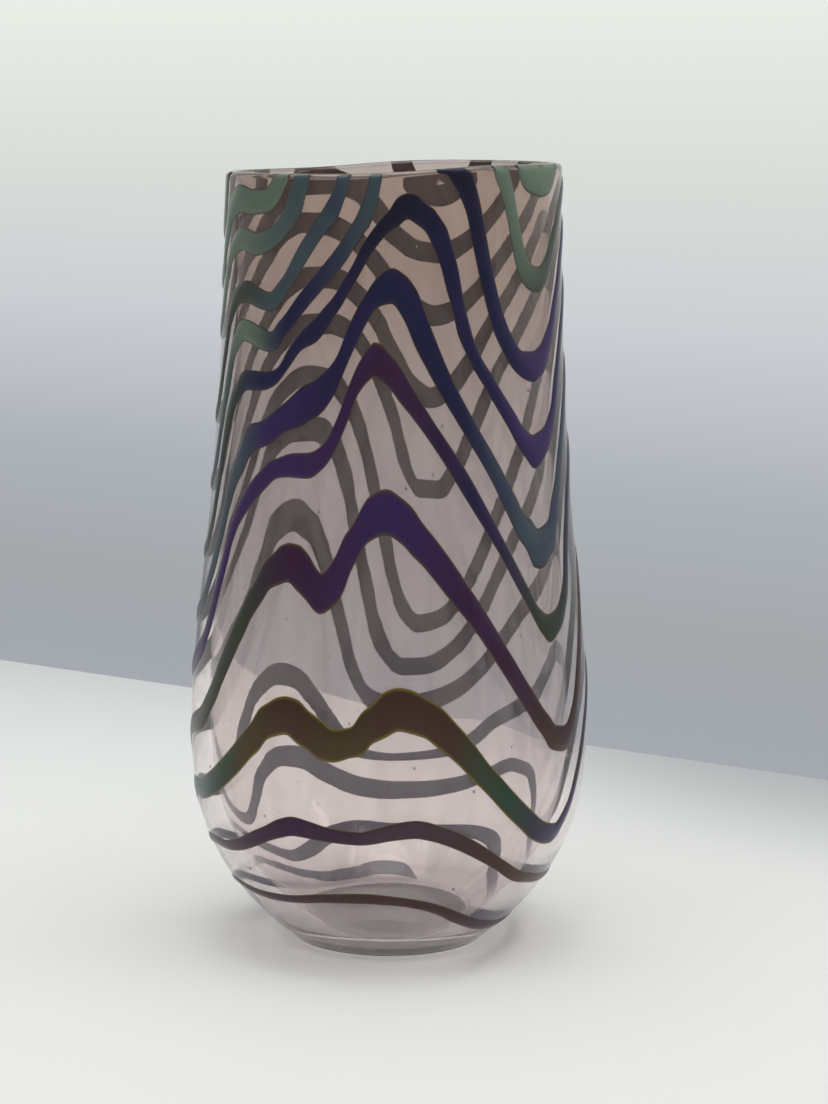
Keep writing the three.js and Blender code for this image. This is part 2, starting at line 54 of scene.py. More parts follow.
# ---- the blown shape, in millimetres -------------------------------------------------------
RIM_HEIGHT = 250.0
RIM_WAVE = 1.8
RIM_WAVE_TURN = 12.0
RIM_WAVE_SHARPNESS = 2.5
WAVE_STARTS = 150.0
FOOT_RADIUS = 31.0
FOOT_BEVEL = 0.8
BELLY_RADIUS = 64.5
BELLY_HEIGHT = 72.0
BOWL_ROUNDNESS = 2.75
SHOULDER_RADIUS = 57.6
SHOULDER_HEIGHT = 150.0
NECK_RADIUS = 54.5
NECK_HEIGHT = 198.0
MOUTH_RADIUS = 53.3
MOUTH_SQUEEZE = 0.12
SQUEEZE_STARTS = 90.0
LIP_WALL = 3.6
SHOULDER_WALL = 4.4
BELLY_WALL = 6.1
HEEL_WALL = 7.0
BASE_THICKNESS = 5.0
CAVITY_CORNER = 2.5
CAVITY_MIDDLE = 0.35
LIP_ROUND = LIP_WALL / 2
WALL_TOP = RIM_HEIGHT - LIP_ROUND

# ---- fineness of the body ------------------------------------------------------------------
SIDES = 240
BOWL_STEPS = 54
BOWL_STEP_POWER = 1.4  # the steps are shorter near the foot
WALL_STEPS = 64
LIP_STEPS = 18
CAVITY_STEPS = 54
FOOT_STEPS = 6
SLOPE_SPAN = 0.5  # half the height over which a slope is measured

# ---- how far the hand blown wall strays from its true form, in millimetres -----------------
OUTER_WAVER = 0.16
INNER_WAVER = 0.30
INNER_PHASE = 1.7  # so that the inside strays at other places than the outside
SWELLINGS = [  # strength, number round the vase, millimetres of height to a radian, phase share
    (1.0, 2, 41, 1),
    (0.6, 3, -29, 2),
    (0.4, 7, 17, -1),
    (0.3, 5, -11, 0),
]
SWELLING_STARTS = (4, 30)
SWELLING_ENDS = (225, 248)

# ---- the bubbles, in millimetres -----------------------------------------------------------
BUBBLES = 70
BUBBLE_SEED = 7
BUBBLE_HEIGHTS = (14, 238)
BUBBLE_DEPTHS = (0.35, 0.65)  # as a share of the wall
BUBBLE_RADII = (0.22, 0.28, 0.35, 0.5)
BUBBLE_SPREAD = (0.8, 1.1)  # each radius is multiplied by a number from this range
BUBBLE_STRETCH = (1.0, 1.8)  # height over width

# ---- the threads, in millimetres -----------------------------------------------------------
THREAD_PROUD = 0.42  # how far the middle of a thread stands out of the wall
THREAD_BED = 0.10  # how far its edges are sunk in the wall
THREAD_ROOT = 0.55  # how far its underside bulges into the wall
THREAD_STEP = 1.5
THREAD_BANDS = 10
THREAD_CROWN = 0.7  # a lower power gives a flatter crown
THREAD_JOIN = 0.2  # how far a length runs on at each end, to close the CAD seams at the back
TAIL_LENGTH = 9.0
TAIL_TIP = 0.02  # the tip's width, as a share of the full width, before it is filled out
TAIL_FULLNESS = 0.7  # a lower power gives a blunter tail
TAIL_LEAD = 0.2  # how far the share of the full height is ahead of the share of the full width

# ---- how the threads are read off their CAD solids -----------------------------------------
CAD_MID_LIFT = 0.8  # millimetres, between the inner and the outer face of a solid
CAD_WELD = 1e-6  # metres between corners that are one corner
CAD_SECTION_GAP = 0.03  # degrees; corners closer than this are in one cross-section
SETTLE_ROUNDS = 8

# ---- the camera ----------------------------------------------------------------------------
CAMERA_PLACE = (0.0076, -0.9, 0.2682)
CAMERA_TILT = 8.961
CAMERA_ROLL = 0.566
CAMERA_LENS = 91.71
SENSOR_HEIGHT = 36.0


def make_camera():
    camera_data = bpy.data.cameras.new("studio_camera")
    camera_data.lens = CAMERA_LENS
    camera_data.sensor_fit = "VERTICAL"
    camera_data.sensor_height = SENSOR_HEIGHT
    camera = bpy.data.objects.new("studio_camera", camera_data)
    camera.location = CAMERA_PLACE
    tilt = Euler((math.radians(90 - CAMERA_TILT), 0, 0)).to_matrix()
    roll = Matrix.Rotation(math.radians(CAMERA_ROLL), 3, "Z")
    camera.rotation_euler = (tilt @ roll).to_euler()
    scene.collection.objects.link(camera)
    scene.camera = camera


make_camera()


# ---- curves --------------------------------------------------------------------------------
def clamp(value, low, high):
    return min(max(value, low), high)


def smooth(value, low, high):
    t = clamp((value - low) / (high - low), 0.0, 1.0)
    return t * t * (3 - 2 * t)


def mix(a, b, share):
    return a + (b - a) * share


def monotone_curve(points, level_ends=True):
    """A smooth curve through points that never overshoots them."""
    last = len(points) - 1
    spans = [points[i + 1][0] - points[i][0] for i in range(last)]
    rises = [(points[i + 1][1] - points[i][1]) / spans[i] for i in range(last)]
    slopes = [0.0] * (last + 1)
    if not level_ends:
        slopes[0] = rises[0]
        slopes[last] = rises[-1]
    for i in range(1, last):
        if rises[i - 1] * rises[i] > 0:
            weight_before = 2 * spans[i] + spans[i - 1]
            weight_after = spans[i] + 2 * spans[i - 1]
            both = weight_before / rises[i - 1] + weight_after / rises[i]
            slopes[i] = (weight_before + weight_after) / both

    def curve(x):
        low, high = 0, last - 1
        while low < high:
            middle = (low + high + 1) // 2
            if points[middle][0] <= x:
                low = middle
            else:
                high = middle - 1
        span = spans[low]
        t = clamp((x - points[low][0]) / span, 0.0, 1.0)
        near = (1 + 2 * t) * points[low][1] + t * span * slopes[low]
        far = (3 - 2 * t) * points[low + 1][1] - (1 - t) * span * slopes[low + 1]
        return (1 - t) * (1 - t) * near + t * t * far

    return curve


# ---- the blown shape -----------------------------------------------------------------------
upper_radius = monotone_curve([
    (BELLY_HEIGHT, BELLY_RADIUS),
    (SHOULDER_HEIGHT, SHOULDER_RADIUS),
    (NECK_HEIGHT, NECK_RADIUS),
    (WALL_TOP, MOUTH_RADIUS),
])

wall_thickness = monotone_curve([
    (BELLY_HEIGHT, BELLY_WALL),
    (SHOULDER_HEIGHT, SHOULDER_WALL),
    (WALL_TOP, LIP_WALL),
])


def outer_radius(height):
    if height >= BELLY_HEIGHT:
        return upper_radius(height)
    below = 1 - max(height, 0.0) / BELLY_HEIGHT
    return BELLY_RADIUS - (BELLY_RADIUS - FOOT_RADIUS) * below ** BOWL_ROUNDNESS


def squeeze(height):
    return 1 - MOUTH_SQUEEZE * smooth(height, SQUEEZE_STARTS, RIM_HEIGHT)


def lip_wave(angle, height):
    tilt = math.tanh(RIM_WAVE_SHARPNESS * math.sin(math.radians(angle - RIM_WAVE_TURN)))
    return RIM_WAVE * tilt * smooth(height, WAVE_STARTS, RIM_HEIGHT)


def waver(angle, height, phase):
    """Slow swellings of a hand blown wall, from -1 to 1, fading out at the foot and the lip."""
    turn = math.radians(angle)
    total = 0.0
    strengths = 0.0
    for strength, number, rise, share in SWELLINGS:
        total += strength * math.sin(number * turn + height / rise + share * phase)
        strengths += strength
    fade = smooth(height, *SWELLING_STARTS) * (1 - smooth(height, *SWELLING_ENDS))
    return total / strengths * fade


def blown(angle, radius, height):
    """A point of the round, level shape as a point of the real one, in metres."""
    turn = math.radians(angle)
    return Vector((
        radius * math.sin(turn) * MM,
        -radius * squeeze(height) * math.cos(turn) * MM,
        (height + lip_wave(angle, height)) * MM,
    ))


def on_wall(angle, reach, lift):
    """A place on the outside, `reach` up the wall and then round the lip, `lift` off the glass."""
    if reach > WALL_TOP:
        turn = (reach - WALL_TOP) / LIP_ROUND
        swing = LIP_ROUND + lift
        radius = MOUTH_RADIUS - LIP_ROUND + swing * math.cos(turn)
        return blown(angle, radius, WALL_TOP + swing * math.sin(turn))
    slope = outer_radius(reach + SLOPE_SPAN) - outer_radius(reach - SLOPE_SPAN)
    length = math.hypot(1, slope)
    radius = outer_radius(reach) + OUTER_WAVER * waver(angle, reach, 0.0)
    return blown(angle, radius + lift / length, reach - lift * slope / length)


# ---- mesh helpers --------------------------------------------------------------------------
def add_object(name, mesh):
    made = bpy.data.objects.new(name, mesh)
    scene.collection.objects.link(made)
    return made


def shade_smooth(mesh):
    for face in mesh.polygons:
        face.use_smooth = True


# ---- the body ------------------------------------------------------------------------------
def outside_rings():
    """Rings of the outside, from the foot's edge to the lip's inner edge: radius and height."""
    rings = []
    for i in range(FOOT_STEPS + 1):
        turn = math.pi / 2 * i / FOOT_STEPS
        spread = outer_radius(FOOT_BEVEL) - FOOT_RADIUS + FOOT_BEVEL
        rings.append((FOOT_RADIUS - FOOT_BEVEL + spread * math.sin(turn), FOOT_BEVEL * (1 - math.cos(turn))))
    for i in range(1, BOWL_STEPS + 1):
        height = FOOT_BEVEL + (BELLY_HEIGHT - FOOT_BEVEL) * (i / BOWL_STEPS) ** BOWL_STEP_POWER
        rings.append((outer_radius(height), height))
    for i in range(1, WALL_STEPS + 1):
        height = mix(BELLY_HEIGHT, WALL_TOP, i / WALL_STEPS)
        rings.append((outer_radius(height), height))
    for i in range(1, LIP_STEPS):
        turn = math.pi * i / LIP_STEPS
        radius = MOUTH_RADIUS - LIP_ROUND * (1 - math.cos(turn))
        rings.append((radius, WALL_TOP + LIP_ROUND * math.sin(turn)))
    return rings


def inside_rings():
    """Rings of the inside, from the lip down to the middle of the cavity floor."""
    rings = []
    for i in range(WALL_STEPS, 0, -1):
        height = mix(BELLY_HEIGHT, WALL_TOP, i / WALL_STEPS)
        rings.append((outer_radius(height) - wall_thickness(height), height))
    swell = BELLY_RADIUS - FOOT_RADIUS
    lowest = ((BELLY_RADIUS - CAVITY_MIDDLE * FOOT_RADIUS) / swell) ** (1 / BOWL_ROUNDNESS)
    for i in range(CAVITY_STEPS + 1):
        below = lowest * i / CAVITY_STEPS
        slope = swell * BOWL_ROUNDNESS * below ** (BOWL_ROUNDNESS - 1) / BELLY_HEIGHT
        share = mix(BELLY_WALL, HEEL_WALL, below) / math.hypot(1, slope)
        radius = BELLY_RADIUS - swell * below ** BOWL_ROUNDNESS - share
        lift = BELLY_HEIGHT * (1 - below) + share * slope - BASE_THICKNESS
        rings.append((radius, BASE_THICKNESS + (lift + math.hypot(lift, CAVITY_CORNER)) / 2))
    return rings


def lathe(rings, low_middle, high_middle):
    """A closed body of rings round the axis, with a middle point at each end."""
    vertices = [blown(0, 0, low_middle)]
    for radius, height, strength, phase in rings:
        for side in range(SIDES):
            angle = 360 * side / SIDES
            vertices.append(blown(angle, radius + strength * waver(angle, height, phase), height))
    vertices.append(blown(0, 0, high_middle))
    faces = []
    for side in range(SIDES):
        after = (side + 1) % SIDES
        faces.append((0, 1 + after, 1 + side))
        for ring in range(len(rings) - 1):
            low = 1 + ring * SIDES
            high = low + SIDES
            faces.append((low + side, low + after, high + after, high + side))
        top = 1 + (len(rings) - 1) * SIDES
        faces.append((top + side, top + after, len(vertices) - 1))
    return vertices, faces


def seed_bubbles(vertices, faces):
    """Tiny air bubbles in the wall, each one a small sphere that faces inwards."""
    draw = random.Random(BUBBLE_SEED)
    ball = bmesh.new()
    bmesh.ops.create_icosphere(ball, subdivisions=2, radius=1.0)
    for _ in range(BUBBLES):
        angle = draw.uniform(0, 360)
        height = draw.uniform(*BUBBLE_HEIGHTS)
        depth = draw.uniform(*BUBBLE_DEPTHS)
        size = draw.choice(BUBBLE_RADII) * draw.uniform(*BUBBLE_SPREAD)
        thick = wall_thickness(max(height, BELLY_HEIGHT))
        middle = on_wall(angle, height, -depth * thick)
        tall = draw.uniform(*BUBBLE_STRETCH)
        first = len(vertices)
        for corner in ball.verts:
            vertices.append(middle + Vector((corner.co.x, corner.co.y, corner.co.z * tall)) * size * MM)
        for face in ball.faces:
            faces.append(tuple(first + corner.index for corner in reversed(face.verts)))
    ball.free()


def make_body():
    outside = [(radius, height, OUTER_WAVER, 0.0) for radius, height in outside_rings()]
    inside = [(radius, height, INNER_WAVER, INNER_PHASE) for radius, height in inside_rings()]
    vertices, faces = lathe(outside + inside, 0.0, BASE_THICKNESS)
    seed_bubbles(vertices, faces)
    mesh = bpy.data.meshes.new("blown_body")
    mesh.from_pydata(vertices, [], faces)
    mesh.validate()
    shade_smooth(mesh)
    body = add_object("blown_body", mesh)
    mesh.materials.append(amethyst_glass())
    mesh.materials.append(ground_glass())
    ground_edge = FOOT_BEVEL * MM / 2
    for face in mesh.polygons:
        if all(mesh.vertices[corner].co.z < ground_edge for corner in face.vertices):
            face.material_index = 1
            face.use_smooth = False
    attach(body, "root")
    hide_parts("vase_body")


# ---- the threads ---------------------------------------------------------------------------
def settle(point):
    """Undoes the oval mouth and the wavy lip: a point as angle, radius and height."""
    across, ahead, up = (value / MM for value in point)
    height = up
    angle = 0.0
    for _ in range(SETTLE_ROUNDS):
        angle = math.degrees(math.atan2(across, -ahead / squeeze(height)))
        height = up - lip_wave(angle, height)
    return angle, math.hypot(across, ahead / squeeze(height)), height


def reach_and_lift(radius, height):
    """How far up the wall a settled point is, and how far off the glass."""
    if height > WALL_TOP:
        middle = MOUTH_RADIUS - LIP_ROUND
        turn = math.atan2(height - WALL_TOP, radius - middle)
        return WALL_TOP + turn * LIP_ROUND, math.hypot(radius - middle, height - WALL_TOP) - LIP_ROUND
    slope = outer_radius(height + SLOPE_SPAN) - outer_radius(height - SLOPE_SPAN)
    length = math.hypot(1, slope)
    lift = (radius - outer_radius(height)) / length
    return height + lift * slope / length, lift


def thread_sections(node):
    """Cross-sections of a thread's CAD solid: angle, lower reach and upper reach.
    The angles run on past 180 where the thread goes on round the vase."""
    solid = bmesh.new()
    solid.from_mesh(frame["nodes"][node].data)
    bmesh.ops.remove_doubles(solid, verts=solid.verts, dist=CAD_WELD)
    solid.verts.ensure_lookup_table()
    settled = [settle(vertex.co) for vertex in solid.verts]
    first = solid.verts[0]
    turns = {first.index: settled[first.index][0]}
    todo = [first]
    while todo:
        vertex = todo.pop()
        for edge in vertex.link_edges:
            other = edge.other_vert(vertex)
            if other.index not in turns:
                apart = settled[other.index][0] - turns[vertex.index]
                turns[other.index] = turns[vertex.index] + (apart + 180) % 360 - 180
                todo.append(other)
    points = []
    for index, angle in turns.items():
        reach, lift = reach_and_lift(*settled[index][1:])
        if lift < CAD_MID_LIFT:
            points.append((angle, reach))
    solid.free()
    points.sort()
    sections = [[points[0]]]
    for before, point in zip(points, points[1:]):
        if point[0] - before[0] > CAD_SECTION_GAP:
            sections.append([])
        sections[-1].append(point)
    whole = [part for part in sections if len(part) > 1]
    return [
        (sum(a for a, _ in part) / len(part), min(r for _, r in part), max(r for _, r in part))
        for part in whole
    ]


def thread_stations(sections):
    """Fine cross-sections through the CAD ones, spaced evenly along the thread."""
    lower = monotone_curve([(angle, low) for angle, low, _ in sections], level_ends=False)
    upper = monotone_curve([(angle, high) for angle, _, high in sections], level_ends=False)
    angles = [sections[0][0]]
    for before, after in zip(sections, sections[1:]):
        sideways = math.radians(after[0] - before[0]) * outer_radius(before[1])
        length = math.hypot(sideways, max(abs(after[1] - before[1]), abs(after[2] - before[2])))
        steps = max(1, math.ceil(length / THREAD_STEP))
        for i in range(1, steps + 1):
            angles.append(mix(before[0], after[0], i / steps))
    return [(angle, lower(angle), upper(angle)) for angle in angles]


def tail_taper(walked):
    """The share of its full width that the tail has, after so many millimetres."""
    rise = math.sin(math.pi / 2 * clamp(walked / TAIL_LENGTH, 0, 1))
    return max(TAIL_TIP, rise) ** TAIL_FULLNESS


def thread_outline(taper):
    """The lens shape across a thread: a place from edge to edge, -1 to 1, and a lift off the wall."""
    outline = []
    for band in range(THREAD_BANDS + 1):
        across = -math.cos(math.pi * band / THREAD_BANDS)
        crown = (1 - across * across) ** THREAD_CROWN
        lift = -THREAD_BED + (THREAD_PROUD + THREAD_BED) * crown * min(1.0, taper + TAIL_LEAD)
        outline.append((across, lift))
    for band in range(THREAD_BANDS - 1, 0, -1):
        across = -math.cos(math.pi * band / THREAD_BANDS)
        crown = (1 - across * across) ** THREAD_CROWN
        outline.append((across, -THREAD_BED - (THREAD_ROOT - THREAD_BED) * crown))
    return outline


def thread_faces(stations, around):
    """The sides of a thread between its cross-sections, then its two ends."""
    faces = []
    for index in range(stations - 1):
        low = index * around
        high = low + around
        for corner in range(around):
            after = (corner + 1) % around
            faces.append((low + corner, high + corner, high + after, low + after))
    top = (stations - 1) * around
    faces.append(tuple(range(around)))
    faces.append(tuple(top + corner for corner in reversed(range(around))))
    return faces


def make_thread(node, slot, glazes, tail=False):
    """One length of thread, lens-shaped across and melted on to the wall."""
    sections = thread_sections(node)
    first, last = sections[0], sections[-1]
    stretch = math.degrees(THREAD_JOIN / BELLY_RADIUS)
    if not tail:
        sections[0] = (first[0] - stretch, first[1], first[2])
    sections[-1] = (last[0] + stretch, last[1], last[2])
    stations = thread_stations(sections)
    vertices = []
    across_marks = []
    glaze_marks = []
    walked = 0.0
    for index, (angle, low, high) in enumerate(stations):
        if index:
            before = stations[index - 1]
            sideways = math.radians(angle - before[0]) * outer_radius((low + high) / 2)
            walked += math.hypot(sideways, (low + high - before[1] - before[2]) / 2)
        taper = tail_taper(walked) if tail else 1.0
        middle = (low + high) / 2
        half = (high - low) / 2 * taper
        glaze = glaze_at(glazes, angle)
        for across, lift in thread_outline(taper):
            vertices.append(on_wall(angle, middle + half * across, lift))
            across_marks.append(abs(across))
            glaze_marks.append(glaze)
    around = 2 * THREAD_BANDS
    mesh = bpy.data.meshes.new(node)
    mesh.from_pydata(vertices, [], thread_faces(len(stations), around))
    mesh.validate()
    shade_smooth(mesh)
    mesh.materials.append(lustre_glass(slot))
    mesh.materials.append(thread_root_glass())
    for face in mesh.polygons:
        corner = face.index % around
        if corner >= THREAD_BANDS or face.index >= (len(stations) - 1) * around:
            face.material_index = 1
    across_data = mesh.attributes.new("across", "FLOAT", "POINT")
    across_data.data.foreach_set("value", across_marks)
    glaze_data = mesh.attributes.new("glaze", "FLOAT_COLOR", "POINT")
    glaze_data.data.foreach_set("color", [value for mark in glaze_marks for value in (*mark, 1.0)])
    thread = add_object(f"melted_{node}", mesh)
    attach(thread, "root")
    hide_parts(node)


# ---- colours of the lustre -----------------------------------------------------------------
NAVY = (0.016, 0.015, 0.055)
INK = (0.012, 0.011, 0.028)
VIOLET = (0.042, 0.018, 0.092)
PLUM = (0.044, 0.014, 0.044)
GREEN = (0.130, 0.175, 0.125)
MOSS = (0.040, 0.052, 0.030)
TEAL = (0.060, 0.086, 0.096)
FOREST = (0.018, 0.056, 0.034)
GOLD = (0.070, 0.046, 0.018)
BROWN = (0.060, 0.028, 0.020)
MAUVE = (0.060, 0.035, 0.048)

GLAZES = {
    "trail_turn_1": [(-180, MAUVE), (-60, MAUVE), (0, BROWN), (60, MAUVE)],
    "trail_turn_2": [(-180, MAUVE), (-60, MAUVE), (-25, PLUM), (5, MAUVE), (40, BROWN)],
    "trail_turn_3": [
        (-180, BROWN), (-90, NAVY), (-70, TEAL), (-54, FOREST), (-42, GOLD), (-30, BROWN), (-12, GOLD),
        (2, BROWN), (16, BROWN), (28, MOSS), (37, FOREST), (50, NAVY), (70, VIOLET), (120, MOSS),
    ],
    "trail_turn_4": [
        (-180, PLUM), (-70, MOSS), (-50, MOSS), (-30, PLUM), (0, VIOLET), (30, PLUM), (55, BROWN),
    ],
    "trail_turn_5": [
        (-180, VIOLET), (-60, VIOLET), (-30, VIOLET), (0, PLUM), (30, NAVY), (52, MOSS), (80, NAVY),
    ],
    "trail_turn_6": [
        (-180, NAVY), (-60, TEAL), (-40, VIOLET), (-10, NAVY), (20, NAVY), (50, TEAL), (90, NAVY),
    ],
    "trail_turn_7": [(-180, NAVY), (-70, MOSS), (-45, NAVY), (0, INK), (30, NAVY), (50, VIOLET), (80, NAVY)],
    "trail_turn_8": [(-180, NAVY), (-75, TEAL), (-55, GREEN), (-35, NAVY), (0, TEAL), (60, NAVY)],
    "trail_arc_lower": [
        (-60, MOSS), (-40, TEAL), (-12, TEAL), (20, INK), (40, NAVY), (56, VIOLET), (90, NAVY),
    ],
    "trail_arc_middle": [(-60, GREEN), (-30, TEAL), (40, GREEN), (60, MOSS), (100, NAVY), (180, TEAL)],
    "trail_arc_upper": [(-60, GREEN), (-30, GREEN), (120, TEAL), (180, MOSS)],
    "trail_patch_front": [(40, GREEN), (60, GREEN), (80, TEAL)],
    "trail_patch_back": [(140, TEAL), (180, GREEN)],
    "trail_patch_left": [(-130, TEAL), (-80, GREEN)],
}


def glaze_at(stops, angle):
    """The lustre's tone at an angle, turning softly from one stop to the next and round the back."""
    turn = (angle + 180) % 360 - 180
    stops = [((at + 180) % 360 - 180, tone) for at, tone in stops]
    stops.sort()
    ring = [(stops[-1][0] - 360, stops[-1][1])] + stops + [(stops[0][0] + 360, stops[0][1])]
    for before, after in zip(ring, ring[1:]):
        if before[0] <= turn <= after[0]:
            share = smooth(turn, before[0], after[0]) if after[0] > before[0] else 0.0
            return tuple(mix(a, b, share) for a, b in zip(before[1], after[1]))
    return ring[0][1]


# ---- materials -----------------------------------------------------------------------------
def new_material(name):
    material = bpy.data.materials.new(name)
    material.use_nodes = True
    nodes = material.node_tree.nodes
    nodes.clear()
    output = nodes.new("ShaderNodeOutputMaterial")
    return material, nodes, material.node_tree.links, output


def soft_noise(nodes, links, scale, detail):
    """Cloudy noise that stays with the object."""
    place = nodes.new("ShaderNodeTexCoord")
    cloud = nodes.new("ShaderNodeTexNoise")
    cloud.inputs["Scale"].default_value = scale
    cloud.inputs["Detail"].default_value = detail
    links.new(place.outputs["Object"], cloud.inputs["Vector"])
    return cloud.outputs["Fac"]


def between_tones(nodes, links, share, low, high):
    """A colour that goes from one (position, tone) to another as the share rises."""
    tone = nodes.new("ShaderNodeValToRGB")
    for element, (position, color) in zip(tone.color_ramp.elements, (low, high)):
        element.position = position
        element.color = (*color, 1)
    links.new(share, tone.inputs["Fac"])
    return tone.outputs["Color"]


def multiplied_colors(nodes, links, color, stain):
    """One colour multiplied by another."""
    both = nodes.new("ShaderNodeMix")
    both.data_type = "RGBA"
    both.blend_type = "MULTIPLY"
    both.inputs["Factor"].default_value = 1.0
    links.new(color, both.inputs[6])
    links.new(stain, both.inputs[7])
    return both.outputs[2]


def bumped(nodes, links, height, strength, distance):
    """A normal that follows a height."""
    bump = nodes.new("ShaderNodeBump")
    bump.inputs["Strength"].default_value = strength
    bump.inputs["Distance"].default_value = distance
    links.new(height, bump.inputs["Height"])
    return bump.outputs["Normal"]


def streaks_group():
    """Drawn-out streaks and seeds of blown glass: a tint share and a height for the bump."""
    if "blown_streaks" in bpy.data.node_groups:
        return bpy.data.node_groups["blown_streaks"]
    group = bpy.data.node_groups.new("blown_streaks", "ShaderNodeTree")
    group.interface.new_socket("Scale", in_out="INPUT", socket_type="NodeSocketFloat")
    group.interface.new_socket("Streak", in_out="OUTPUT", socket_type="NodeSocketFloat")
    group.interface.new_socket("Height", in_out="OUTPUT", socket_type="NodeSocketFloat")
    nodes, links = group.nodes, group.links
    entry = nodes.new("NodeGroupInput")
    leave = nodes.new("NodeGroupOutput")
    place = nodes.new("ShaderNodeTexCoord")
    drawn = nodes.new("ShaderNodeVectorMath")
    drawn.operation = "MULTIPLY"
    drawn.inputs[1].default_value = (1.0, 1.0, 0.09)
    links.new(place.outputs["Object"], drawn.inputs[0])
    streak = nodes.new("ShaderNodeTexNoise")
    streak.inputs["Detail"].default_value = 4.0
    links.new(drawn.outputs["Vector"], streak.inputs["Vector"])
    links.new(entry.outputs["Scale"], streak.inputs["Scale"])
    add = nodes.new("ShaderNodeMath")
    add.operation = "ADD"
    links.new(streak.outputs["Fac"], add.inputs[0])
    links.new(soft_noise(nodes, links, 34.0, 2.0), add.inputs[1])
    links.new(streak.outputs["Fac"], leave.inputs["Streak"])
    links.new(add.outputs[0], leave.inputs["Height"])
    return group


def color_by_height(nodes, links, stops):
    """A colour that changes with the height in metres, through the (height, colour) stops."""
    place = nodes.new("ShaderNodeTexCoord")
    axes = nodes.new("ShaderNodeSeparateXYZ")
    links.new(place.outputs["Object"], axes.inputs["Vector"])
    rise = nodes.new("ShaderNodeMath")
    rise.operation = "MULTIPLY"
    rise.inputs[1].default_value = 1 / stops[-1][0]
    links.new(axes.outputs["Z"], rise.inputs[0])
    tone = nodes.new("ShaderNodeValToRGB")
    ramp = tone.color_ramp
    while len(ramp.elements) < len(stops):
        ramp.elements.new(0.5)
    for element, (height, color) in zip(ramp.elements, stops):
        element.position = height / stops[-1][0]
        element.color = (*color, 1)
    links.new(rise.outputs[0], tone.inputs["Fac"])
    return tone.outputs["Color"]


def lets_lamps_through(nodes, links, shader, output, stops):
    """Rays towards the lamps pass straight through, so that clear glass casts a pale shadow."""
    path = nodes.new("ShaderNodeLightPath")
    clear = nodes.new("ShaderNodeBsdfTransparent")
    links.new(color_by_height(nodes, links, stops), clear.inputs["Color"])
    choose = nodes.new("ShaderNodeMixShader")
    links.new(path.outputs["Is Shadow Ray"], choose.inputs["Fac"])
    links.new(shader.outputs["BSDF"], choose.inputs[1])
    links.new(clear.outputs["BSDF"], choose.inputs[2])
    links.new(choose.outputs["Shader"], output.inputs["Surface"])


# The body's colour by height in metres: the glass's own pinkish tint, browner near the top, with painted
# shade that darkens it towards the top.
GLASS_TINT_AND_SHADE = [
    (0.000, (0.94, 0.880, 0.885)),
    (0.080, (0.95, 0.880, 0.870)),
    (0.150, (0.89, 0.805, 0.775)),
    (0.215, (0.71, 0.605, 0.550)),
    (0.250, (0.73, 0.625, 0.575)),
]
BODY_SHADOW = [
    (0.0000, (0.92, 0.90, 0.91)),
    (0.0006, (0.26, 0.25, 0.27)),
    (0.0042, (0.34, 0.33, 0.35)),
    (0.0052, (0.80, 0.78, 0.79)),
    (0.016, (0.76, 0.74, 0.75)),
    (0.040, (0.88, 0.865, 0.87)),
    (0.250, (0.86, 0.845, 0.85)),
]


def amethyst_glass():
    material, nodes, links, output = new_material("blown_amethyst")
    streaks = nodes.new("ShaderNodeGroup")
    streaks.node_tree = streaks_group()
    streaks.inputs["Scale"].default_value = 150.0
    streak = streaks.outputs["Streak"]
    tint = between_tones(nodes, links, streak, (0.3, (0.90, 0.87, 0.86)), (0.7, (1.0, 1.0, 1.0)))
    # Painted shade: the colour by height also darkens the glass towards the top.
    color = multiplied_colors(nodes, links, tint, color_by_height(nodes, links, GLASS_TINT_AND_SHADE))
    glass = nodes.new("ShaderNodeBsdfPrincipled")
    glass.inputs["Transmission Weight"].default_value = 0.97
    glass.inputs["Roughness"].default_value = 0.02
    glass.inputs["IOR"].default_value = 1.5
    links.new(color, glass.inputs["Base Color"])
    links.new(bumped(nodes, links, streaks.outputs["Height"], 0.05, 0.0004), glass.inputs["Normal"])
    lets_lamps_through(nodes, links, glass, output, BODY_SHADOW)
    return material


def ground_glass():
    """The ground underside of the foot: the same glass, frosted by the wheel."""
    material, nodes, links, output = new_material("ground_glass")
    grit = soft_noise(nodes, links, 900.0, 5.0)
    tone = between_tones(nodes, links, grit, (0.0, (0.84, 0.79, 0.79)), (1.0, (0.90, 0.85, 0.85)))
    glass = nodes.new("ShaderNodeBsdfPrincipled")
    glass.inputs["Transmission Weight"].default_value = 1.0
    glass.inputs["Roughness"].default_value = 0.08
    glass.inputs["IOR"].default_value = 1.5
    links.new(tone, glass.inputs["Base Color"])
    links.new(bumped(nodes, links, grit, 0.5, 0.0002), glass.inputs["Normal"])
    lets_lamps_through(nodes, links, glass, output, BODY_SHADOW)
    return material


